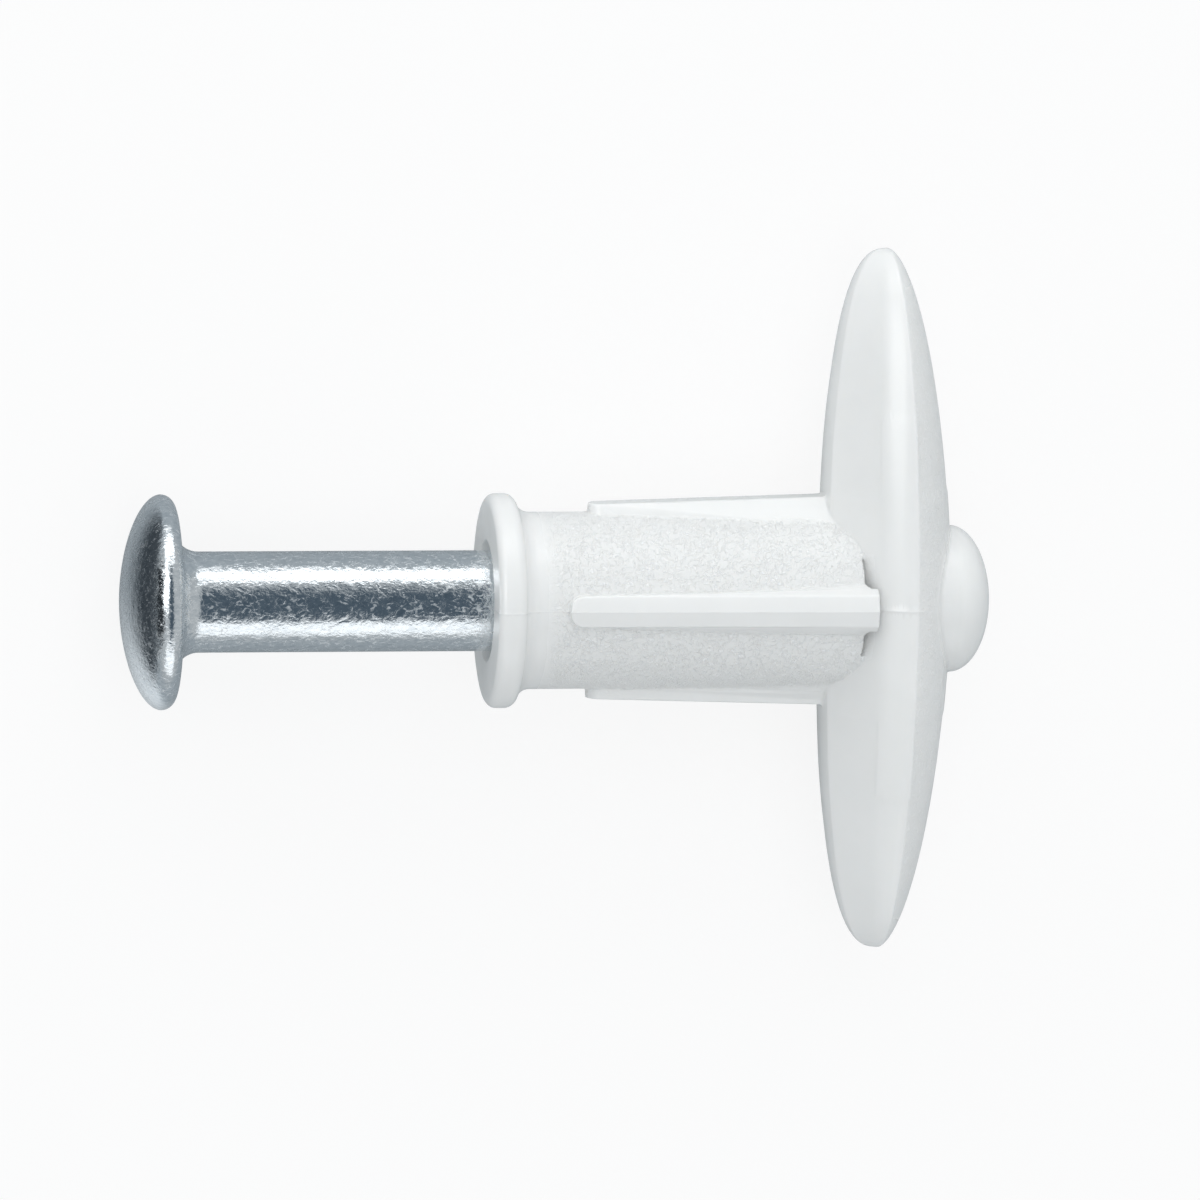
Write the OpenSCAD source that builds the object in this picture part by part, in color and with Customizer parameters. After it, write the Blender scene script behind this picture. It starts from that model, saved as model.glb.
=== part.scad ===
// Hollow-wall toggle anchor: one plastic moulding, a finned sleeve with a cross bar, and a steel drive pin.
// It lies on its side: +X runs from the pin's head to the bar, +Y along the bar, +Z up from the table.

/* [Wall] */
// Drilled hole that the collar fills and that the fins and the bar pass through
hole_d = 8; // [7:0.1:12]
// Board thickness that it grips, from the collar's front face to the crest of the bar
grip = 12.6; // [9:0.1:19]

/* [Sleeve] */
// Step from the collar's rim down to the barrel
collar_step = 0.7; // [0.4:0.05:0.9]
// Width of the level land on the collar's rim
collar_land = 0.3; // [0.05:0.05:0.6]
// Rounding of the collar's front rim
collar_front_round = 0.35; // [0.2:0.05:0.7]
// Rounding of the collar's back rim
collar_back_round = 0.4; // [0.2:0.05:0.7]
// Hollow flare that runs from the collar's back down to the barrel
collar_flare = 0.6; // [0.3:0.05:0.9]

/* [Fins] */
// Where the two fins in line with the bar start, behind the collar's face
long_fin_start = 3.8; // [2:0.1:6]
// Where the two fins across the bar start, behind the collar's face
cross_fin_start = 2.7; // [2:0.1:6]
// Height of the fins above the barrel at their noses
fin_nose_rise = 0.35; // [0.25:0.05:0.6]
// Clearance of the fins in the hole where they reach the bar
fin_clear = 0.02; // [0.01:0.01:0.15]
// Height of the ridge on the fins across the bar, where the mould's halves meet
cross_fin_ridge = 0.14; // [0.04:0.02:0.2]
// Width of a fin's outer face
fin_w = 1.16; // [0.8:0.02:1.4]
// Width of a fin's root at its nose
fin_nose_root = 1.3; // [1:0.05:1.6]
// Width of a fin's root at the bar
fin_end_root = 2.4; // [1.6:0.1:3]

/* [Toggle bar] */
// Length of the bar from tip to tip
bar_len = 26.4; // [18:0.2:40]
// Thickness of the bar from its crest, which bears on the board, to its back
bar_thick = 4.9; // [4:0.1:6]
// Depth from the bar's crest to its tips
bar_tip = 2.35; // [1.8:0.05:2.8]
// Depth from the bar's crest to where its crowned front meets its level sides
bar_shoulder = 2.15; // [1.6:0.05:2.4]
// Depth from the bar's crest to the edges where its sides meet its crowned back
bar_edge = 3.03; // [2.5:0.01:3.4]
// Height of the two windows between the sleeve's end and the bar
window_h = 3.6; // [2:0.1:4.4]
// Width of the gap in those windows
window_gap = 0.3; // [0.2:0.02:0.6]

/* [Button] */
// Diameter of the button on the bar's back, which closes the bore
button_d = 5.5; // [4.8:0.1:6.6]
// Rise of the button above the bar's back
button_rise = 1.45; // [0.8:0.05:2.4]
// Plastic left between the end of the bore and the button's top
button_wall = 1.35; // [0.8:0.05:2]

/* [Drive pin] */
// Diameter of the pin's shank
pin_d = 3.75; // [3:0.05:4]
// How far the pin's head reaches past the hole's edge
head_over = 0; // [-0.4:0.1:1.5]
// Height of the head's dome above its widest line
head_dome = 1.5; // [1:0.05:2.2]
// Rounding under the head's rim, down to its flat seat
head_under = 0.5; // [0.3:0.05:0.7]
// Fillet between the head's seat and the shank
head_fillet = 0.9; // [0.4:0.05:1]
// How far the head's seat stands off the collar before the pin is driven
stand_off = 11.66; // [4:0.1:12]
// Chamfer of the pin's tip
tip_chamfer = 0.6; // [0.3:0.05:0.9]

/* [Fits] */
// Radial running clearance of the pin in the bore
bore_clear = 0.05; // [0.02:0.01:0.1]
// Gap left under the head when the pin is driven home, where its fillet meets the bore's bevel
seat_gap = 0.32; // [0.3:0.01:0.5]
// Gap left ahead of the tip when the pin is driven home
tip_gap = 0.3; // [0.1:0.05:0.6]
// Bevel of the bore's mouth
mouth = 0.25; // [0.2:0.05:0.4]

/* [Hidden] */
$fn = 96;

// Fullness of the bar's and the head's outlines: 2 is an ellipse, more is squarer, less is leaner
FRONT_FULL = 2.6;
BACK_FULL = 1.75;
WIDTH_FULL = 2.2;
HEAD_FULL = 1.85;
// The crowns run past the tips, so that the bar's own round ends close it
TIP_RUN_OUT = 0.15;
// How far the fins are rooted under the barrel's skin
FIN_SINK = 0.5;
// Steps of the curved outlines
BAR_STEPS = 12;
OUTLINE_STEPS = 96;
ARC_STEPS = 6;
DOME_STEPS = 14;
THIN = 0.02;
PAST = 1;

collar_r = hole_d / 2;
barrel_r = collar_r - collar_step;
fin_nose_r = barrel_r + fin_nose_rise;
fin_end_r = hole_d / 2 - fin_clear;
head_r = hole_d / 2 + head_over;
bore_r = pin_d / 2 + bore_clear;
bar_mid = grip + bar_tip;
bar_end = grip + bar_thick;
front_crown = crown_r(hole_d / 2, bar_shoulder);
back_crown = crown_r(hole_d / 2, bar_thick - bar_edge);
body_end = bar_end + button_rise;
bore_len = body_end - button_wall;
pin_len = bore_len - tip_gap + seat_gap;
head_top = stand_off + head_under + head_dome;

// The part's origin is under the middle of its box, on the table that it lies on
axis_z = max(head_r, hole_d / 2);
origin_x = (body_end - head_top) / 2;

function arc(x, y, r, from, to, steps = ARC_STEPS) =
    [for (i = [0 : steps])
        let (a = from + (to - from) * i / steps)
        [x + r * cos(a), y + r * sin(a)]];

function fullness(t, power) = pow(1 - pow(t, power), 1 / power);

// Outline of a dome from its rim, at [r, base], to its top on the axis
function dome(r, rise, base, power = 2, steps = DOME_STEPS) =
    [for (i = [0 : steps - 1])
        let (t = sin(90 * i / steps))
        [r * fullness(t, power), base + rise * t]];

// Radius of an arc that falls by drop over half a chord
function crown_r(half_chord, drop) = (half_chord * half_chord + drop * drop) / (2 * drop);

// Turns a profile of [radius, distance along the axis] round the anchor's axis
module turned(points) {
    rotate([0, 90, 0])
        rotate_extrude()
            polygon(points);
}

// A long round form about a line along Y at x, whose radius falls by drop from its middle to its tips
module spindle(x, mid_r, drop, half_len, power, steps = BAR_STEPS) {
    side = [for (i = [1 - steps : steps - 1])
        let (t = sin(90 * i / steps))
        [mid_r - drop * (1 - fullness(abs(t), power)), half_len * t]];
    translate([x, 0, 0])
        rotate([-90, 0, 0])
            rotate_extrude()
                polygon(concat([[0, -half_len]], side, [[0, half_len]]));
}

// The bar's crowned front, or the space a little ahead of it
module front_form(grow = 0) {
    spindle(grip + front_crown, front_crown + grow, bar_tip, bar_len / 2 + TIP_RUN_OUT, FRONT_FULL);
}

module back_form() {
    spindle(bar_end - back_crown, back_crown, bar_end - bar_mid, bar_len / 2 + TIP_RUN_OUT,
        BACK_FULL, BAR_STEPS - 1);
}

// The bar's outline, seen from its back, run through along the axis: it gives the bar its level sides
module side_form() {
    outline = [for (i = [0 : OUTLINE_STEPS - 1])
        let (a = 360 * i / OUTLINE_STEPS, w = fullness(abs(sin(a)), WIDTH_FULL))
        [hole_d / 2 * w * sign(cos(a)), bar_len / 2 * sin(a)]];
    translate([grip - PAST, 0, 0])
        rotate([0, 90, 0])
            linear_extrude(bar_thick + 2 * PAST)
                polygon(outline);
}

module toggle_bar() {
    intersection() {
        side_form();
        front_form();
        back_form();
    }
}

// One fin along X, standing in +Z: a round nose, flanks that spread towards the bar, a flat or ridged top
module fin(start, ridge = 0) {
    root_z = barrel_r - FIN_SINK;
    shoulder_z = fin_nose_r - ridge;
    end_z = fin_end_r;
    hull() {
        translate([start + fin_nose_root / 2, 0, root_z]) {
            cylinder(d1 = fin_nose_root, d2 = fin_w, h = shoulder_z - root_z, $fn = 24);
            cylinder(d = THIN, h = shoulder_z + ridge - root_z, $fn = 24);
        }
        translate([bar_mid, 0, 0])
            rotate([90, 0, -90])
                linear_extrude(THIN)
                    polygon([
                        [-fin_end_root / 2, root_z],
                        [fin_end_root / 2, root_z],
                        [fin_w / 2, end_z - ridge],
                        [THIN, end_z],
                        [-THIN, end_z],
                        [-fin_w / 2, end_z - ridge]
                    ]);
    }
}

// The barrel and its collar: a round front rim, a land, and a back that swings down to the barrel in an S
module barrel() {
    drop = collar_r - barrel_r;
    reach = collar_back_round + collar_flare;
    swing = drop < reach ? acos(1 - drop / reach) : 90;
    back_z = collar_front_round + collar_land;
    turned(concat(
        [[0, 0]],
        arc(collar_r - collar_front_round, collar_front_round, collar_front_round, -90, 0),
        arc(collar_r - collar_back_round, back_z, collar_back_round, 0, swing),
        arc(barrel_r + collar_flare, back_z + reach * sin(swing), collar_flare, 180 + swing, 180),
        [[barrel_r, bar_mid], [0, bar_mid]]
    ));
}

// The windows: clear in front of the bar, open on the two sides across it
module windows() {
    intersection() {
        front_form(window_gap);
        translate([0, -window_h / 2, -hole_d])
            cube([body_end, window_h, 2 * hole_d]);
    }
}

module sleeve() {
    difference() {
        union() {
            barrel();
            for (side = [0, 180]) {
                rotate([side + 90, 0, 0])
                    fin(long_fin_start);
                rotate([side, 0, 0])
                    fin(cross_fin_start, cross_fin_ridge);
            }
        }
        windows();
    }
}

module button() {
    turned(concat([[0, bar_mid], [button_d / 2, bar_mid]],
        dome(button_d / 2, button_rise, bar_end), [[0, body_end]]));
}

// Blind bore for the pin, with a bevelled mouth that stops the fillet under its head
module bore() {
    translate([-PAST, 0, 0])
        rotate([0, 90, 0])
            cylinder(r = bore_r, h = PAST + bore_len);
    rotate([0, 90, 0])
        translate([0, 0, -THIN])
            cylinder(r1 = bore_r + mouth + THIN, r2 = bore_r, h = mouth + THIN);
}

module anchor_body() {
    color("whitesmoke")
        translate([-origin_x, 0, axis_z])
            difference() {
                union() {
                    sleeve();
                    toggle_bar();
                    button();
                }
                bore();
            }
}

module drive_pin() {
    shank_r = pin_d / 2;
    rim_r = head_r - head_under;
    color("silver")
        translate([-origin_x - stand_off, 0, axis_z])
            rotate([0, 90, 0])
                rotate_extrude()
                    polygon(concat(
                        [[0, pin_len], [shank_r - tip_chamfer, pin_len], [shank_r, pin_len - tip_chamfer]],
                        arc(shank_r + head_fillet, head_fillet, head_fillet, 180, 270),
                        arc(rim_r, -head_under, head_under, 90, 0),
                        [for (p = dome(head_r, -head_dome, -head_under, HEAD_FULL)) if (p[0] < head_r) p],
                        [[0, -head_under - head_dome]]
                    ));
}

anchor_body();
drive_pin();
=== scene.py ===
# %% [markdown]
# # A toggle anchor, dressed on its CAD frame
# The part is two pieces: a white moulded anchor, which is a finned sleeve with a cross bar, and a
# zinc-plated drive pin that waits in its bore. The frame gives the large sizes and the place of each
# piece, so it is loaded first, and the box of its solids is kept for the last step.

import math

import bpy
from mathutils import Matrix, Vector


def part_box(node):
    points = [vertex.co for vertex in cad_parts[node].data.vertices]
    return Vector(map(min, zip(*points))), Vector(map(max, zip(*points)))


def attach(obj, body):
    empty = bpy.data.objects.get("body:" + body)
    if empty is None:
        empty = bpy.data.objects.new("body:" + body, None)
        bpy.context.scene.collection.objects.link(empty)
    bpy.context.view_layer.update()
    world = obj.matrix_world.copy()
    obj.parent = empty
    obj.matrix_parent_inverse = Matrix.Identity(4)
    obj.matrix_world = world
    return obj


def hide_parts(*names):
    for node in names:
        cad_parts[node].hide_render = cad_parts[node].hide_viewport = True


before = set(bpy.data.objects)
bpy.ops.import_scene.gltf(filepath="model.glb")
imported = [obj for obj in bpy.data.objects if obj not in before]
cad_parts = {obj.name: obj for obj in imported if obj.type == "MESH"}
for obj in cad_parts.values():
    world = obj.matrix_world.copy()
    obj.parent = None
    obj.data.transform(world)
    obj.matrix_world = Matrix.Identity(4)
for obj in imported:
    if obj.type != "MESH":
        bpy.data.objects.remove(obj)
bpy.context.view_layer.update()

# %% [markdown]
# ## The sizes
# Fine moulded detail is easier to think about in millimetres, so both pieces are modelled in millimetres
# about the pin's axis, with the collar's face at x = 0, and are brought to metres and to their place in
# the frame when they are finished. The large sizes are read off the two CAD nodes.

# %% Driving sizes, in millimetres
MM = 0.001
body_low, body_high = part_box("anchor_body")
pin_low, pin_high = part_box("drive_pin")
AXIS_Z = (body_low.z + body_high.z) / 2 / MM
FACE_X = body_low.x / MM
BODY_END = body_high.x / MM - FACE_X
BAR_HALF = body_high.y / MM
HOLE_R = (body_high.z - body_low.z) / 2 / MM
PIN_TOP = pin_low.x / MM - FACE_X
PIN_TIP = pin_high.x / MM - FACE_X
HEAD_R = (pin_high.z - pin_low.z) / 2 / MM
GRIP, COLLAR_STEP, BORE_R = 12.6, 0.7, 1.95
BARREL_R = HOLE_R - COLLAR_STEP
print(f"hole radius {HOLE_R:.2f}, bar half length {BAR_HALF:.2f}, body end {BODY_END:.2f} mm")

# %% [markdown]
# ## Helpers for modelling by hand
# Each operator acts on what is selected, so the helpers deselect all and then select by place. A profile
# is drawn by extruding one vertex from point to point, and becomes a turned form when it is spun.

# %% Selecting
DOUBLED = 1e-4


def only(obj):
    """Makes obj the one selected and active object."""
    bpy.ops.object.select_all(action="DESELECT")
    obj.select_set(True)
    bpy.context.view_layer.objects.active = obj


def pick(obj, test):
    """Goes to edit mode with just the points selected that pass the test."""
    bpy.ops.object.mode_set(mode="OBJECT")
    only(obj)
    bpy.ops.object.mode_set(mode="EDIT")
    bpy.ops.mesh.select_mode(type="VERT")
    bpy.ops.mesh.select_all(action="DESELECT")
    bpy.ops.object.mode_set(mode="OBJECT")
    for vertex in obj.data.vertices:
        vertex.select = test(vertex.co)
    bpy.ops.object.mode_set(mode="EDIT")


def close_up():
    """In edit mode: merges doubled points and turns the faces outwards."""
    bpy.ops.mesh.select_all(action="SELECT")
    bpy.ops.mesh.remove_doubles(threshold=DOUBLED)
    bpy.ops.mesh.normals_make_consistent(inside=False)
    bpy.ops.object.mode_set(mode="OBJECT")


# %% Drawing and spinning a profile
def draw(name, points):
    """A chain of edges through the points, extruded from one vertex."""
    bpy.ops.object.select_all(action="DESELECT")
    bpy.ops.mesh.primitive_plane_add(size=1)
    obj = bpy.context.object
    obj.name = name
    bpy.ops.object.mode_set(mode="EDIT")
    bpy.ops.mesh.merge(type="CENTER")
    bpy.ops.transform.translate(value=points[0])
    for here, there in zip(points, points[1:]):
        step = Vector(there) - Vector(here)
        bpy.ops.mesh.extrude_vertices_move(TRANSFORM_OT_translate={"value": step})
    bpy.ops.object.mode_set(mode="OBJECT")
    return obj


def spun(name, points, steps=160):
    """A turned form: the profile spun all the way round the x axis."""
    obj = draw(name, points)
    bpy.ops.object.mode_set(mode="EDIT")
    bpy.ops.mesh.select_all(action="SELECT")
    bpy.ops.mesh.spin(steps=steps, angle=math.tau, center=(0, 0, 0), axis=(1, 0, 0))
    close_up()
    return obj


def arc(x, r, radius, start, end, steps=8):
    """Points of an arc in the profile's plane, with angles in degrees from straight out."""
    turns = [math.radians(start + (end - start) * i / steps) for i in range(steps + 1)]
    return [(x + radius * math.sin(a), r + radius * math.cos(a), 0) for a in turns]


def fullness(t, power):
    """Height of a rounded outline at t from its middle to its end: 2 is an ellipse, more is squarer."""
    return max(0, 1 - abs(t) ** power) ** (1 / power)


# %% Modifiers
def apply(obj, kind, **settings):
    """Adds a modifier with these settings and applies it."""
    only(obj)
    modifier = obj.modifiers.new(kind.lower(), kind)
    for key, value in settings.items():
        setattr(modifier, key, value)
    bpy.ops.object.modifier_apply(modifier=modifier.name)


def combine(obj, other, operation):
    """Joins, cuts or crosses obj with another form, which is used up."""
    apply(obj, "BOOLEAN", object=other, operation=operation, solver="EXACT")
    bpy.data.objects.remove(other)
    return obj


# %% [markdown]
# ## The turned core of the sleeve
# The collar stops the anchor in the wall's face. On the real moulding its front rim is well rounded and its
# back swings down to the barrel in a hollow flare. Both are turned shapes, so one profile makes them.

# %% Collar and barrel
FRONT_ROUND, RIM_LAND, BACK_ROUND, FLARE = 0.35, 0.3, 0.4, 0.6
TIP_DEPTH = 2.35
BAR_TIP_X = GRIP + TIP_DEPTH
swing = math.degrees(math.acos(1 - (HOLE_R - BARREL_R) / (BACK_ROUND + FLARE)))
back_x = FRONT_ROUND + RIM_LAND
flare_x = back_x + (BACK_ROUND + FLARE) * math.sin(math.radians(swing))
profile = [(0, 0, 0)]
profile += arc(FRONT_ROUND, HOLE_R - FRONT_ROUND, FRONT_ROUND, -90, 0)
profile += arc(back_x, HOLE_R - BACK_ROUND, BACK_ROUND, 0, swing)
profile += arc(flare_x, BARREL_R + FLARE, -FLARE, swing, 0)
profile += [(BAR_TIP_X, BARREL_R, 0), (BAR_TIP_X, 0, 0)]
body = spun("anchor", profile)
print("barrel:", len(body.data.polygons), "faces")

# %% [markdown]
# ## The four fins
# The fins bite into the wall and stop the sleeve from turning. Each rises and spreads towards the bar and
# has a round nose. A cube over the fin's length is pulled to that shape, and its two nose edges are
# bevelled. The fins across the bar lie on the mould's parting plane, so they carry a low ridge, and they
# end square just short of the bar. The two in line with the bar are broader and run into it.

# %% One fin, standing in +Z and turned to its side
FIN_W, NOSE_ROUND, OFF_MIDDLE = 1.16, 0.42, 0.1
NOSE_RISE, END_CLEAR, SINK = 0.35, 0.02, 0.5
FIN_NOSE_R, FIN_END_R, FIN_ROOT_R = BARREL_R + NOSE_RISE, HOLE_R - END_CLEAR, BARREL_R - SINK
CROSS_FIN = {"start": 2.7, "end": 14.2, "ridge": 0.14, "nose_root": 1.3, "end_root": 2.4}
LONG_FIN = {"start": 3.8, "end": BAR_TIP_X, "ridge": 0, "nose_root": 1.8, "end_root": 3.5}


def fin(turn, start, end, ridge, nose_root, end_root):
    """A fin from start to end along the barrel, with a root that spreads and a flat or ridged top."""
    middle_x, middle_z = (start + end) / 2, (FIN_ROOT_R + FIN_NOSE_R) / 2
    size = (end - start, FIN_W, FIN_NOSE_R - FIN_ROOT_R)
    bpy.ops.object.select_all(action="DESELECT")
    bpy.ops.mesh.primitive_cube_add(size=1, location=(middle_x, 0, middle_z), scale=size)
    bpy.ops.object.transform_apply(location=True, rotation=False, scale=True)
    obj = bpy.context.object
    bpy.ops.object.mode_set(mode="EDIT")
    bpy.ops.mesh.select_all(action="SELECT")
    bpy.ops.mesh.bisect(plane_co=(0, 0, 0), plane_no=(0, 1, 0))
    pick(obj, lambda p: p.x > middle_x and p.z > middle_z)
    bpy.ops.transform.translate(value=(0, 0, FIN_END_R - FIN_NOSE_R))
    pick(obj, lambda p: p.z > middle_z and abs(p.y) > OFF_MIDDLE)
    bpy.ops.transform.translate(value=(0, 0, -ridge))
    pick(obj, lambda p: p.x > middle_x and p.z < middle_z)
    bpy.ops.transform.resize(value=(1, end_root / FIN_W, 1))
    pick(obj, lambda p: p.x < middle_x and p.z < middle_z)
    bpy.ops.transform.resize(value=(1, nose_root / FIN_W, 1))
    pick(obj, lambda p: p.x < middle_x and abs(p.y) > OFF_MIDDLE)
    bpy.ops.mesh.bevel(offset=FIN_W * NOSE_ROUND, segments=8, affect="EDGES")
    close_up()
    obj.data.transform(Matrix.Rotation(math.radians(turn), 4, "X"))
    return obj


for turn in (0, 180):
    combine(body, fin(turn, **CROSS_FIN), "UNION")
    combine(body, fin(turn + 90, **LONG_FIN), "UNION")
print("sleeve with fins:", len(body.data.polygons), "faces")

# %% [markdown]
# ## The cross bar
# The bar turns flat to go through the hole and then bears on the back of the board. Its front has a narrow
# land along its crest, two slanted faces and rounded shoulders, its back is crowned, and a crisp edge parts
# them. A ball with its poles at the tips has the right mesh for it, so each of its points is moved to where
# the bar's section puts it.

# %% The bar, pulled out of a ball
BAR_THICK, EDGE = 4.9, 3.03
BAR_END = GRIP + BAR_THICK
FRONT_FULL, BACK_FULL, WIDTH_FULL = 2.6, 1.75, 2.2
LAND, CREST, SHOULDER = 0.32, 0.12, 0.8
BEND_START, BEND_RUN = 0.8, 0.2
WINDOW_HALF, WINDOW_GAP, WINDOW_SPREAD = 2.1, 0.4, 0.4
BALL_SEGMENTS, BALL_RINGS, TINY = 160, 200, 1e-9


def front_depth(s):
    """How far the front lies behind the crest at s, from 0 at the crest to 1 at the edge."""
    land = CREST * min(1, s / LAND) ** 2
    slant = (EDGE - CREST - SHOULDER) * max(0, s - LAND) / (1 - LAND)
    bend = max(0, (s - BEND_START) / BEND_RUN)
    return land + slant + SHOULDER * (1 - math.sqrt(max(0, 1 - bend**2)))


def back_depth(s):
    """How far the back lies ahead of its middle at s: an arc that drops to the edge."""
    drop = BAR_THICK - EDGE
    radius = (HOLE_R**2 + drop**2) / (2 * drop)
    return radius - math.sqrt(radius**2 - (HOLE_R * s) ** 2)


def bar_form(gap=0):
    """The bar, or the bar with a swelling of its front by the gap, to cut the windows with."""
    bpy.ops.object.select_all(action="DESELECT")
    upright = (math.pi / 2, 0, 0)
    bpy.ops.mesh.primitive_uv_sphere_add(segments=BALL_SEGMENTS, ring_count=BALL_RINGS, rotation=upright)
    bpy.ops.object.transform_apply(location=False, rotation=True, scale=False)
    obj = bpy.context.object
    obj.name = "bar"
    for vertex in obj.data.vertices:
        ball = vertex.co
        t = max(-1, min(1, ball.y))
        ring = max(TINY, math.hypot(ball.x, ball.z))
        s = min(1, abs(ball.z) / ring)
        swell = gap * max(0, 1 - (BAR_HALF * t / WINDOW_HALF) ** 2)
        x = GRIP - swell + front_depth(s) if ball.x <= 0 else BAR_END - back_depth(s)
        full = fullness(t, FRONT_FULL if x < BAR_TIP_X else BACK_FULL)
        width = (HOLE_R + WINDOW_SPREAD * swell) * fullness(t, WIDTH_FULL) * math.copysign(s, ball.z)
        vertex.co = (BAR_TIP_X + (x - BAR_TIP_X) * full, BAR_HALF * t, width)
    obj.data.update()
    return obj


bar = bar_form()
print("bar:", len(bar.data.polygons), "faces")

# %% [markdown]
# ## Windows, button and bore
# Two slots part the sleeve's end from the bar on the sides across it, so only the walls above and below
# join them, and there the plastic flexes. The slots are widest on the middle plane and run out to nothing,
# so they are cut with the bar's own form, swollen by the gap. The button closes the bore, cut last.

# %% Cut the windows, add the bar and the button, drill the bore
SLOT_LENGTH, SLOT_WIDTH, SLOT_INSET = 20, 6.84, 0.1
BUTTON_R, BUTTON_RISE, BUTTON_WALL, DOME_STEPS = 2.75, 1.45, 1.35, 16
BORE_END, MOUTH, PAST = BODY_END - BUTTON_WALL, 0.32, 1

slot_size = (SLOT_LENGTH, 2 * WINDOW_HALF - SLOT_INSET, SLOT_WIDTH)
bpy.ops.object.select_all(action="DESELECT")
bpy.ops.mesh.primitive_cube_add(size=1, location=(SLOT_LENGTH / 2, 0, 0), scale=slot_size)
bpy.ops.object.transform_apply(location=True, rotation=False, scale=True)
slot = combine(bpy.context.object, bar_form(WINDOW_GAP), "INTERSECT")
combine(body, slot, "DIFFERENCE")
combine(body, bar, "UNION")

rises = [math.sin(math.radians(90 * i / DOME_STEPS)) for i in range(DOME_STEPS + 1)]
dome = [(BAR_TIP_X, 0, 0), (BAR_TIP_X, BUTTON_R, 0)]
dome += [(BAR_END + BUTTON_RISE * t, BUTTON_R * fullness(t, power=2), 0) for t in rises]
combine(body, spun("button", dome), "UNION")

bore = [(-PAST, 0, 0), (-PAST, BORE_R + MOUTH + PAST, 0), (MOUTH, BORE_R, 0)]
bore += [(BORE_END, BORE_R, 0), (BORE_END, 0, 0)]
combine(body, spun("bore", bore), "DIFFERENCE")
print("moulding:", len(body.data.polygons), "faces")

# %% [markdown]
# ## Softening the moulding
# A moulded edge is never knife sharp. The joined solid is remeshed into small even cells and smoothed a
# little, which rounds every edge and fills every root, and then flat stretches give back cells.

# %% Remesh, smooth and thin
CELL = 0.05
MOST_FACES = 170000
apply(body, "REMESH", mode="VOXEL", voxel_size=CELL)
print("cells:", len(body.data.polygons))
apply(body, "SMOOTH", factor=0.5, iterations=3)
apply(body, "TRIANGULATE")
apply(body, "DECIMATE", ratio=min(1, MOST_FACES / len(body.data.polygons)))
print("anchor:", len(body.data.polygons), "faces")

# %% [markdown]
# ## The mould's traces
# The mould was spark-eroded over the barrel and behind the edge of the bar's back, and polished elsewhere.
# Its inserts left a faint step on the bar's sides, where the middle stands a hair proud. Each zone is a rule
# that gives a point 0 to 1. A Displace modifier moves the points of one zone, and the other is painted as an
# attribute that the finish reads. The mesh is scored where the texture starts, so that its end is even.

# %% Zones: spark-eroded skin and the proud middle of the bar
SPARK_START, SPARK_FULL, SPARK_END = 1.8, 2.4, (14, 14.2)
SPARK_SKIN = (BARREL_R + 0.03, BARREL_R + 0.1)
INSERT_HALF, INSERT_SLANT, INSERT_RISE, STEP_SOFT = 6.9, 0.35, 0.035, 0.06
INSERT_FRONT, INSERT_BACK = (14.25, 14.35), (BAR_END - 1.9, BAR_END - 1.8)
BAR_FRONT, SKIRT_FRONT, SKIRT_ROOT = (GRIP - 0.05, GRIP), (GRIP + 0.2, GRIP + 0.4), (4.1, 4.3)
RIM_SPARK, RIM_SOFT = 0.6, 0.08
RIM_BUTTON, RIM_TIPS = (BUTTON_R + 0.2, BUTTON_R + 0.4), (10.5, 12.2)


def ramp(value, low, high):
    """0 below low, 1 above high, even between them."""
    return min(1, max(0, (value - low) / (high - low)))


def on_barrel(p):
    """1 on the barrel's own skin, 0 on the collar, the fins and the bar."""
    skin = 1 - ramp(math.hypot(p.y, p.z), *SPARK_SKIN)
    return skin * ramp(p.x, SPARK_START, SPARK_FULL) * (1 - ramp(p.x, *SPARK_END))


def on_bar(p):
    """1 on the middle of the bar, 0 on its tips and on the sleeve."""
    reach = INSERT_HALF + INSERT_SLANT * ramp(abs(p.z), 0, HOLE_R)
    return ramp(p.x, *BAR_FRONT) * (1 - ramp(abs(p.y), reach - STEP_SOFT, reach + STEP_SOFT))


def on_skirt(p):
    """1 on the bar around the proud sides of its middle, 0 on those and on the sleeve."""
    proud = on_bar(p) * ramp(p.x, *INSERT_FRONT) * (1 - ramp(p.x, *INSERT_BACK))
    return (1 - proud) * ramp(p.x, *SKIRT_FRONT) * ramp(abs(p.y), *SKIRT_ROOT)


def on_rim(p):
    """RIM_SPARK on the bar's back, behind its edge, fading out before the tips and the button."""
    edge_x = BAR_TIP_X + (GRIP + EDGE - BAR_TIP_X) * fullness(p.y / BAR_HALF, BACK_FULL)
    clear = ramp(math.hypot(p.y, p.z), *RIM_BUTTON) * (1 - ramp(abs(p.y), *RIM_TIPS))
    return RIM_SPARK * clear * ramp(p.x, edge_x, edge_x + RIM_SOFT)


def score(obj, point, normal):
    """Cuts a line of edges into the mesh on a plane, without parting it."""
    pick(obj, lambda p: True)
    bpy.ops.mesh.bisect(plane_co=point, plane_no=normal)
    bpy.ops.object.mode_set(mode="OBJECT")


def raise_by(obj, zone, height):
    """Moves the points of a zone out along their normals."""
    group = obj.vertex_groups.new(name="zone")
    for vertex in obj.data.vertices:
        group.add([vertex.index], zone(vertex.co), "REPLACE")
    apply(obj, "DISPLACE", strength=height, mid_level=0, vertex_group="zone")
    obj.vertex_groups.clear()


def paint(obj, name, zone):
    """Stores a zone as an attribute that a finish can read."""
    painted = obj.data.attributes.new(name, "FLOAT", "POINT")
    for vertex in obj.data.vertices:
        painted.data[vertex.index].value = zone(vertex.co)


raise_by(body, on_skirt, -INSERT_RISE)
for place in (SPARK_START, SPARK_FULL):
    score(body, (place, 0, 0), (1, 0, 0))
paint(body, "spark", lambda p: max(on_barrel(p), on_rim(p)))
print("proud step:", INSERT_RISE, "mm")

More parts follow.
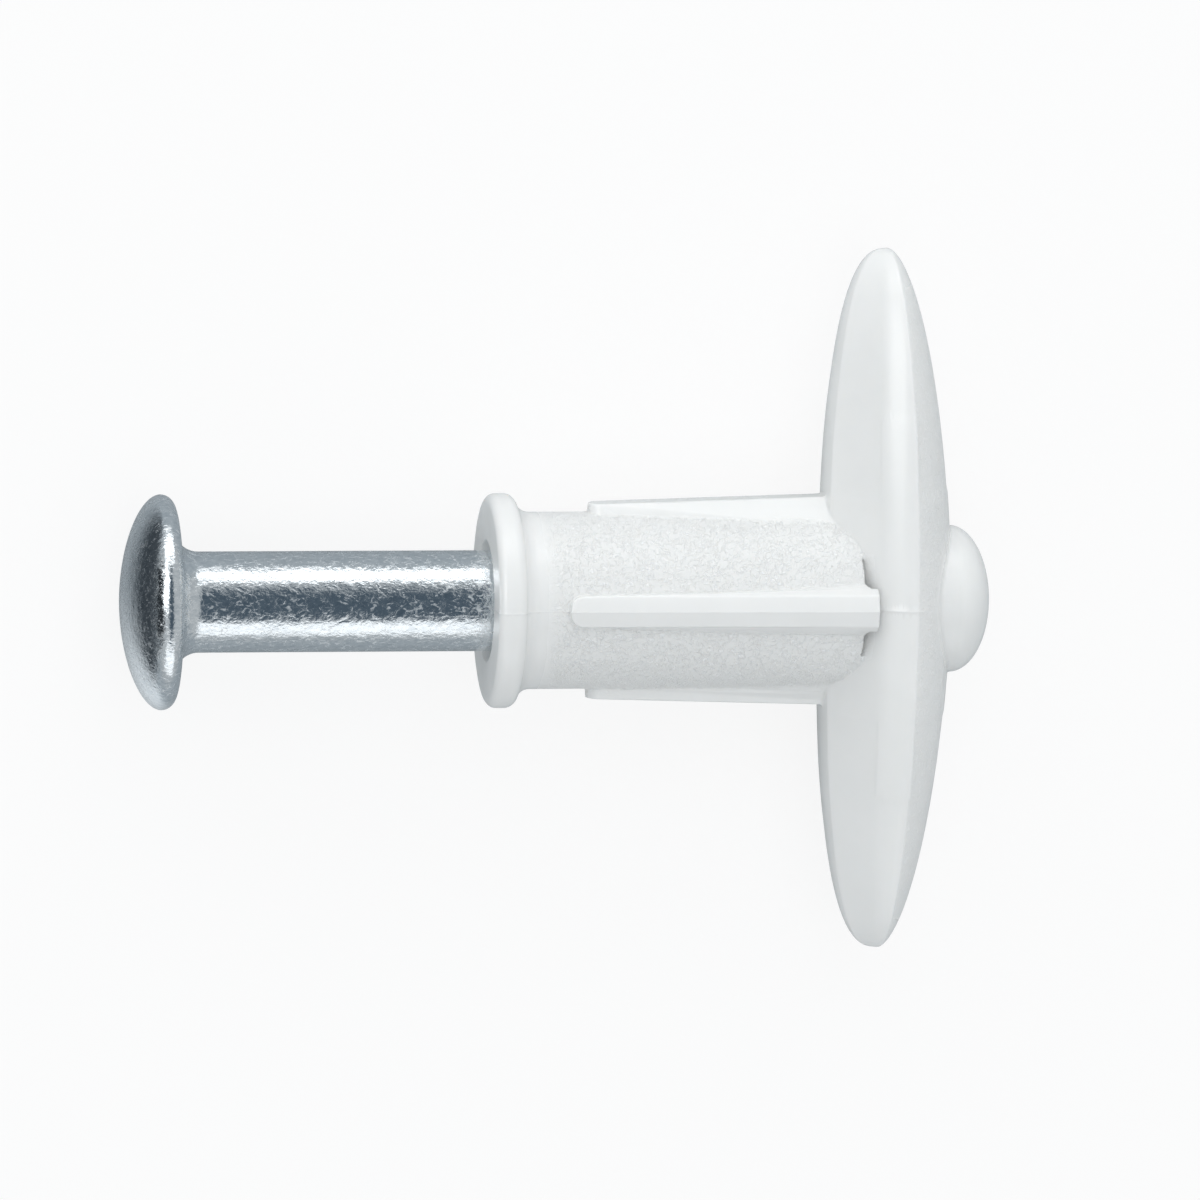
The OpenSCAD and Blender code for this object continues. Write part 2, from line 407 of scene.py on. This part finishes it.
# %% [markdown]
# Where the mould's halves met, a hair of plastic stands along the plane y = 0: over the collar, along the
# ridge of the fin and across the gap onto the bar. The moulding is scored on that plane and a little to
# each side, and the middle line is raised and also painted paler, a painted highlight for the light that its
# ridge catches. The whole is brought in by the hair's height, to go through the hole.

# %% The parting line
HAIR, HAIR_HALF, ON_PLANE = 0.02, 0.03, 0.002
LINE_IN, LINE_END = BORE_R + MOUTH + 0.15, BAR_END - 1.5
for place in (-HAIR_HALF, 0, HAIR_HALF):
    score(body, (0, place, 0), (0, 1, 0))


def on_line(p):
    """1 on the outside of the middle plane, from the collar to the bar's edge."""
    outside = abs(p.z) > LINE_IN and p.x < LINE_END
    return 1.0 if outside and abs(p.y) < ON_PLANE else 0.0


raise_by(body, on_line, HAIR)
# The parting line is painted paler: a painted highlight where its ridge catches the light.
paint(body, "pale", on_line)
pick(body, lambda p: True)
bpy.ops.transform.resize(value=(1, 1, HOLE_R / (HOLE_R + HAIR)), center_override=(0, 0, 0))
bpy.ops.object.mode_set(mode="OBJECT")
bpy.ops.object.shade_smooth()
print("anchor with its parting line:", len(body.data.polygons), "faces")

# %% [markdown]
# ## The drive pin
# The pin is headed steel wire: a domed head with a soft rim, a hollow fillet under it and a plain shank
# with a chamfered tip. It is round all over, so one profile is spun. The small dents that it gets when it
# is plated in a tumbling barrel are too fine for the mesh and come with its finish.

# %% Turn the pin
SHANK_R, HEAD_UNDER, HEAD_FILLET, HEAD_DOME, TIP_CHAMFER = 1.875, 0.5, 0.9, 1.5, 0.6
HEAD_FULL, HEAD_STEPS, FILLET_STEPS, PIN_STEPS, CREASE = 1.85, 28, 12, 192, 35
SEAT = PIN_TOP + HEAD_DOME + HEAD_UNDER
rises = [math.cos(math.radians(90 * i / HEAD_STEPS)) for i in range(HEAD_STEPS)]
profile = [(SEAT - HEAD_UNDER - HEAD_DOME * t, HEAD_R * fullness(t, HEAD_FULL), 0) for t in rises]
profile += arc(SEAT - HEAD_UNDER, HEAD_R - HEAD_UNDER, HEAD_UNDER, 0, 90)
profile += arc(SEAT + HEAD_FILLET, SHANK_R + HEAD_FILLET, -HEAD_FILLET, 90, 0, steps=FILLET_STEPS)
profile += [(PIN_TIP - TIP_CHAMFER, SHANK_R, 0), (PIN_TIP, SHANK_R - TIP_CHAMFER, 0), (PIN_TIP, 0, 0)]
pin = spun("pin", profile, steps=PIN_STEPS)
only(pin)
bpy.ops.object.shade_smooth_by_angle(angle=math.radians(CREASE))
print("pin:", len(pin.data.polygons), "faces")

# %% [markdown]
# Both shapes are finished. Their meshes are moved to their place in the frame and scaled to metres, so the
# objects themselves stay at the origin, unturned and unscaled, and a joint can carry them.

# %% Bring both to their place, in metres
to_frame = Matrix.Scale(MM, 4) @ Matrix.Translation((FACE_X, 0, AXIS_Z))
for obj in (body, pin):
    obj.data.transform(to_frame)
    print(obj.name, "brought to the frame")

# %% [markdown]
# ## Finishes
# Both surfaces are uneven at two sizes: broad clouds, from the flow of the plastic or of the zinc, and fine
# grain. One node group makes both from Object coordinates, and each finish uses it in its own way.

# %% Uneven clouds and grain, for both finishes
NOISE_DETAIL, NOISE_ROUGH, NOISE_SPAN = 4, 0.55, (0.3, 0.7)


def mottle_group():
    """A node group that gives clouds and grain, each from 0 to 1."""
    group = bpy.data.node_groups.new("mottle", "ShaderNodeTree")
    for name, kind, way in (
        ("Vector", "NodeSocketVector", "INPUT"),
        ("Clouds per m", "NodeSocketFloat", "INPUT"),
        ("Grains per m", "NodeSocketFloat", "INPUT"),
        ("Clouds", "NodeSocketFloat", "OUTPUT"),
        ("Grain", "NodeSocketFloat", "OUTPUT"),
    ):
        group.interface.new_socket(name, in_out=way, socket_type=kind)
    inlet, outlet = group.nodes.new("NodeGroupInput"), group.nodes.new("NodeGroupOutput")
    for size, result, curl in (("Clouds per m", "Clouds", 0), ("Grains per m", "Grain", 1)):
        noise = group.nodes.new("ShaderNodeTexNoise")
        noise.inputs["Detail"].default_value = NOISE_DETAIL
        noise.inputs["Roughness"].default_value = NOISE_ROUGH
        noise.inputs["Distortion"].default_value = curl
        spread = group.nodes.new("ShaderNodeMapRange")
        spread.inputs["From Min"].default_value = NOISE_SPAN[0]
        spread.inputs["From Max"].default_value = NOISE_SPAN[1]
        group.links.new(inlet.outputs["Vector"], noise.inputs["Vector"])
        group.links.new(inlet.outputs[size], noise.inputs["Scale"])
        group.links.new(noise.outputs["Fac"], spread.inputs["Value"])
        group.links.new(spread.outputs["Result"], outlet.inputs[result])
    return group


MOTTLE = mottle_group()
print("node group:", MOTTLE.name)

# %% [markdown]
# The finishes, the floor and the card are all built from the same few nodes, so a small class adds and links
# them. It keeps each finish short enough to read as a list of what the surface is like.

# %% A material with short ways to add nodes
MIX_A, MIX_B, MIX_RESULT = 6, 7, 2


class Finish:
    """A material with a few short ways to add and link nodes."""

    def __init__(self, name):
        self.material = bpy.data.materials.new(name)
        self.material.use_nodes = True
        self.tree = self.material.node_tree
        self.shader = self.tree.nodes["Principled BSDF"]

    def node(self, kind, **values):
        """Adds a shader node with these settings."""
        node = self.tree.nodes.new("ShaderNode" + kind)
        for key, value in values.items():
            setattr(node, key, value)
        return node

    def link(self, output, target):
        self.tree.links.new(output, target)

    def mottle(self, clouds, grains, stretch=(1, 1, 1)):
        """The mottle group on Object coordinates, with this many clouds and grains to the metre."""
        place = self.node("TexCoord")
        turn = self.node("Mapping")
        turn.inputs["Scale"].default_value = stretch
        group = self.node("Group", node_tree=MOTTLE)
        group.inputs["Clouds per m"].default_value = clouds
        group.inputs["Grains per m"].default_value = grains
        self.link(place.outputs["Object"], turn.inputs["Vector"])
        self.link(turn.outputs["Vector"], group.inputs["Vector"])
        return group

    def blend(self, amount, low, high):
        """A value that runs from low to high as amount runs from 0 to 1."""
        span = self.node("MapRange")
        span.inputs["To Min"].default_value = low
        span.inputs["To Max"].default_value = high
        self.link(amount, span.inputs["Value"])
        return span.outputs["Result"]

    def tint(self, amount, low, high):
        """A colour that runs from low to high as amount runs from 0 to 1."""
        mix = self.node("Mix", data_type="RGBA")
        mix.inputs[MIX_A].default_value = (*low, 1)
        mix.inputs[MIX_B].default_value = (*high, 1)
        self.link(amount, mix.inputs["Factor"])
        return mix.outputs[MIX_RESULT]

    def over(self, amount, colour, top):
        """A colour with another laid over it by amount."""
        laid = self.tint(amount, top, top)
        self.link(colour, laid.node.inputs[MIX_A])
        return laid

    def cut(self, amount, low, high):
        """0 where amount is under low, 1 where it is over high."""
        span = self.node("MapRange")
        span.inputs["From Min"].default_value = low
        span.inputs["From Max"].default_value = high
        self.link(amount, span.inputs["Value"])
        return span.outputs["Result"]

    def compute(self, first, second, operation="ADD"):
        """The sum of two values, or another operation on them."""
        node = self.node("Math", operation=operation)
        self.link(first, node.inputs[0])
        self.link(second, node.inputs[1])
        return node.outputs[0]

    def bump(self, height, depth):
        """Fine relief on the surface, up to depth in metres."""
        node = self.node("Bump")
        node.inputs["Distance"].default_value = depth
        self.link(height, node.inputs["Height"])
        self.link(node.outputs["Normal"], self.shader.inputs["Normal"])


# %% [markdown]
# The anchor is white nylon: a cool white that lets a little light in, satin where the mould was polished
# and finely grained where it was spark-eroded. The painted attribute says where, and it scales the grains,
# which stand up a little and are painted paler, as painted glints of the light that they catch. A second
# attribute marks the parting line, which is painted as pale, a painted highlight along its ridge.

# %% White plastic
WHITE_LOW, WHITE_HIGH = (0.835, 0.84, 0.83), (0.865, 0.868, 0.86)
WHITE_SPARK, WHITE_PAINTED_HIGHLIGHT = (0.84, 0.845, 0.835), (0.92, 0.925, 0.92)
SATIN, SPARK_ROUGH, GRAIN_CUT, GRAIN_RISE = (0.22, 0.27), 0.2, (0.52, 0.8), 0.018 * MM
LET_IN, LET_IN_TINT, LET_IN_DEPTH = 0.35, (1, 0.95, 0.9), 0.5 * MM


def white_plastic():
    look = Finish("white_plastic")
    uneven = look.mottle(clouds=350, grains=6800)
    spark = look.node("Attribute", attribute_name="spark").outputs["Fac"]
    flecks = look.compute(look.cut(uneven.outputs["Grain"], *GRAIN_CUT), spark, "MULTIPLY")
    cloudy = look.tint(uneven.outputs["Clouds"], WHITE_LOW, WHITE_HIGH)
    ground = look.over(spark, cloudy, WHITE_SPARK)
    pale = look.node("Attribute", attribute_name="pale").outputs["Fac"]
    # Painted light: the raised grains get painted glints and the parting line a painted highlight, in a
    # paler colour.
    white = look.over(look.compute(flecks, pale), ground, WHITE_PAINTED_HIGHLIGHT)
    look.link(white, look.shader.inputs["Base Color"])
    rough = look.compute(look.blend(uneven.outputs["Clouds"], *SATIN), look.blend(spark, 0, SPARK_ROUGH))
    look.link(rough, look.shader.inputs["Roughness"])
    look.bump(flecks, GRAIN_RISE)
    look.shader.inputs["Subsurface Weight"].default_value = LET_IN
    look.shader.inputs["Subsurface Radius"].default_value = LET_IN_TINT
    look.shader.inputs["Subsurface Scale"].default_value = LET_IN_DEPTH
    return look.material


# %% [markdown]
# The pin is plated with bright zinc. The plate is mirror-like but blotchy, with soft dents about half a
# millimetre across that break the reflections up, and duller clouds where the zinc grew coarser.

# %% Bright zinc
ZINC_LOW, ZINC_HIGH = (0.6, 0.65, 0.69), (0.88, 0.91, 0.93)
PATCH_ROUGH, FLECK_ROUGH, FLECK_CUT = (0.06, 0.18), 0.36, (0.62, 0.9)
DENT_SHARE, RIPPLE_SHARE, PATCH_SHARE, DENT_DEPTH = 0.5, 0.3, 0.25, 0.025 * MM


def zinc_steel():
    look = Finish("zinc_steel")
    dents = look.mottle(clouds=1500, grains=4500, stretch=(0.7, 1, 1))
    dull = look.mottle(clouds=700, grains=6000, stretch=(0.6, 1, 1))
    look.shader.inputs["Metallic"].default_value = 1
    patches = look.compute(dull.outputs["Clouds"], dull.outputs["Grain"], "MULTIPLY")
    tone = look.tint(dull.outputs["Grain"], ZINC_LOW, ZINC_HIGH)
    look.link(tone, look.shader.inputs["Base Color"])
    flecks = look.cut(dull.outputs["Grain"], *FLECK_CUT)
    rough = look.compute(look.blend(patches, *PATCH_ROUGH), look.blend(flecks, 0, FLECK_ROUGH))
    look.link(rough, look.shader.inputs["Roughness"])
    dented = look.blend(dents.outputs["Clouds"], 0, DENT_SHARE)
    soft = look.compute(dented, look.blend(dents.outputs["Grain"], 0, RIPPLE_SHARE))
    look.bump(look.compute(soft, look.blend(patches, 0, PATCH_SHARE)), DENT_DEPTH)
    return look.material


# %% [markdown]
# Each piece gets its finish, the CAD node that it replaces is hidden, and it is hung on the empty of the
# body that carries it.

# %% Dress both pieces
for obj, finish, node, ride_on in (
    (body, white_plastic, "anchor_body", "anchor"),
    (pin, zinc_steel, "drive_pin", "pin"),
):
    obj.data.materials.clear()
    obj.data.materials.append(finish())
    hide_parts(node)
    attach(obj, ride_on)
    print(obj.name, "finished as", finish.__name__)

# %% [markdown]
# ## Floor and light
# The photograph is a bright studio shot. The floor is a pale sheet that also glows for the camera alone,
# so it goes nearly white and keeps a faint shadow. In mirrored rays alone it is painted a soft grey, a
# painted reflection for the pin's edges, with a painted pale patch and a painted dark patch by the pin's
# head, which the polished dome mirrors as painted reflections.

# %% Floor
FLOOR_SIZE, MATT, GLOW = 1.2, 0.9, 0.84
SHEET, MIRRORED_GREY = (0.9, 0.9, 0.9), (0.42, 0.45, 0.47)
PALE_PAINTED_REFLECTION, DARK_PAINTED_REFLECTION = (0.9, 0.92, 0.93), (0.03, 0.04, 0.05)
PALE_PLACE = {"x": -0.021, "y": -0.008, "near": 0.004, "far": 0.009}
DARK_PLACE = {"x": -0.045, "y": 0.005, "near": 0.0235, "far": 0.028}
bpy.ops.object.select_all(action="DESELECT")
bpy.ops.mesh.primitive_plane_add(size=FLOOR_SIZE, location=(0, 0, 0))
floor = bpy.context.object
floor.name = "floor"
sheet = Finish("floor")
sheet.shader.inputs["Roughness"].default_value = MATT
glow, mix, path = sheet.node("Emission"), sheet.node("MixShader"), sheet.node("LightPath")


def away(x, y, near, far):
    """0 on the sheet around a point, 1 away from it."""
    spot = sheet.node("VectorMath", operation="DISTANCE")
    sheet.link(sheet.node("TexCoord").outputs["Object"], spot.inputs[0])
    spot.inputs[1].default_value = (x, y, 0)
    return sheet.cut(spot.outputs["Value"], near, far)


# Painted reflections: a pale and a dark patch that only mirrored rays see, for the head's dome to mirror.
pale = sheet.tint(away(**PALE_PLACE), PALE_PAINTED_REFLECTION, MIRRORED_GREY)
dark = sheet.tint(away(**DARK_PLACE), DARK_PAINTED_REFLECTION, MIRRORED_GREY)
sheet.link(pale, dark.node.inputs[MIX_B])
seen = sheet.tint(path.outputs["Is Glossy Ray"], SHEET, SHEET)
sheet.link(dark, seen.node.inputs[MIX_B])
sheet.link(seen, sheet.shader.inputs["Base Color"])
sheet.link(sheet.blend(path.outputs["Is Camera Ray"], 0, GLOW), mix.inputs[0])
sheet.link(sheet.shader.outputs[0], mix.inputs[1])
sheet.link(glow.outputs[0], mix.inputs[2])
sheet.link(mix.outputs[0], sheet.tree.nodes["Material Output"].inputs["Surface"])
floor.data.materials.append(sheet.material)
print("floor:", FLOOR_SIZE, "m across")

# %% [markdown]
# A black card stands beyond the pin, out of the picture. Only mirrored rays see it, and it darkens the
# middle of the head's dome, which shows how round the dome is.

# %% Black card
CARD_PLACE, CARD_SIZE, CARD_BLACK = (-0.10, 0, 0.026), (0.05, 0.09, 1), (0.02, 0.025, 0.03, 1)
bpy.ops.object.select_all(action="DESELECT")
bpy.ops.mesh.primitive_plane_add(size=1, location=CARD_PLACE, rotation=(0, math.pi / 2, 0))
card = bpy.context.object
card.name = "black card"
card.scale = CARD_SIZE
black = Finish("black card")
black.shader.inputs["Base Color"].default_value = CARD_BLACK
black.shader.inputs["Roughness"].default_value = MATT
card.data.materials.append(black.material)
card.visible_camera = card.visible_diffuse = card.visible_shadow = False
print("card at", CARD_PLACE)

# %% [markdown]
# The sky is pale at the horizon and dark blue overhead, because the polished pin mirrors it in bands. It
# changes faster along the pin than across it. For all but mirrored rays it is a little stronger.

# %% Sky
HORIZON, HORIZON_AT = (0.52, 0.54, 0.55, 1), 0.78
ZENITH, ZENITH_AT = (0.085, 0.115, 0.145, 1), 0.58
SKY_STRETCH, SKY_STRENGTH = (1.8, 1, 0), 1.1
world = bpy.data.worlds.new("studio")
bpy.context.scene.world = world
world.use_nodes = True
sky, sky_links = world.node_tree.nodes, world.node_tree.links
place, narrow, off, fade = (
    sky.new("ShaderNode" + kind) for kind in ("TexCoord", "Mapping", "VectorMath", "ValToRGB")
)
narrow.inputs["Scale"].default_value = SKY_STRETCH
off.operation = "LENGTH"
high, low = fade.color_ramp.elements
high.position, high.color = ZENITH_AT, ZENITH
low.position, low.color = HORIZON_AT, HORIZON
sky_links.new(place.outputs["Generated"], narrow.inputs["Vector"])
sky_links.new(narrow.outputs["Vector"], off.inputs[0])
sky_links.new(off.outputs["Value"], fade.inputs["Fac"])
sky_links.new(fade.outputs["Color"], sky["Background"].inputs["Color"])
ray, dim = sky.new("ShaderNodeLightPath"), sky.new("ShaderNodeMapRange")
dim.inputs["To Min"].default_value = SKY_STRENGTH
sky_links.new(ray.outputs["Is Glossy Ray"], dim.inputs["Value"])
sky_links.new(dim.outputs["Result"], sky["Background"].inputs["Strength"])
print("sky:", world.name)

# %% [markdown]
# A studio would use two or three large softboxes and some white card. Here a box can be kept out of the
# mirrored rays or out of the light, so the pin's bright bands and the plastic's soft shading are set apart:
# the key does both, the fill and the high left are there to be mirrored, and the others light the plastic.

# %% Lamps
def softbox(name, place, size, power, mirrored=True, lighting=True):
    """A rectangular lamp that faces the part, with its place and size in metres and its power in watts."""
    light = bpy.data.lights.new(name, "AREA")
    light.shape = "RECTANGLE"
    light.size, light.size_y = size
    light.energy = power
    obj = bpy.data.objects.new(name, light)
    bpy.context.collection.objects.link(obj)
    obj.location = place
    obj.rotation_euler = (-Vector(place)).to_track_quat("-Z", "Y").to_euler()
    obj.visible_glossy, obj.visible_diffuse = mirrored, lighting


softbox("key", (-0.03, 0.30, 0.12), (0.45, 0.16), 0.36)
softbox("fill", (-0.03, -0.30, 0.195), (0.45, 0.21), 0.23, lighting=False)
softbox("high key", (0.02, 0.22, 0.34), (0.25, 0.2), 0.24, mirrored=False)
softbox("high left", (-0.26, 0.12, 0.26), (0.25, 0.2), 0.4, lighting=False)
softbox("left", (-0.30, 0.06, 0.10), (0.25, 0.2), 0.05, mirrored=False)
softbox("overhead", (0.02, -0.05, 0.40), (0.3, 0.3), 0.46, mirrored=False)
print("lamps:", len(bpy.data.lights))

# %% [markdown]
# ## The camera
# The photograph looks almost straight down on the part as it lies, a little from the pin's side and a
# little from the bar's upper tip, through a long lens. Its scale and its middle fix what the frame shows.

# %% Camera
LEAN_X, LEAN_Y, ROLL = 0.15, 0.125, 0.3
CAMERA_FAR = 0.4
FRAME_W = 44.7 * MM
AIM_X, SENSOR = 4.3, 36
aim = Vector(((AIM_X + FACE_X) * MM, 0, AXIS_Z * MM))
back = Vector((-LEAN_X, LEAN_Y, math.sqrt(1 - LEAN_X**2 - LEAN_Y**2)))
along = Vector((1, 0, 0))
right = (along - back * along.dot(back)).normalized()
right.rotate(Matrix.Rotation(math.radians(-ROLL), 3, back))
up = back.cross(right)
lens = bpy.data.cameras.new("camera")
lens.sensor_width = SENSOR
lens.lens = SENSOR * CAMERA_FAR / FRAME_W
lens.clip_start, lens.clip_end = 0.01, 10
camera = bpy.data.objects.new("camera", lens)
bpy.context.collection.objects.link(camera)
turn = Matrix((right, up, back)).transposed()
camera.matrix_world = Matrix.Translation(aim + back * CAMERA_FAR) @ turn.to_4x4()
bpy.context.scene.camera = camera
bpy.context.scene.view_settings.view_transform = "Standard"
print("camera at", [round(value, 3) for value in camera.location])
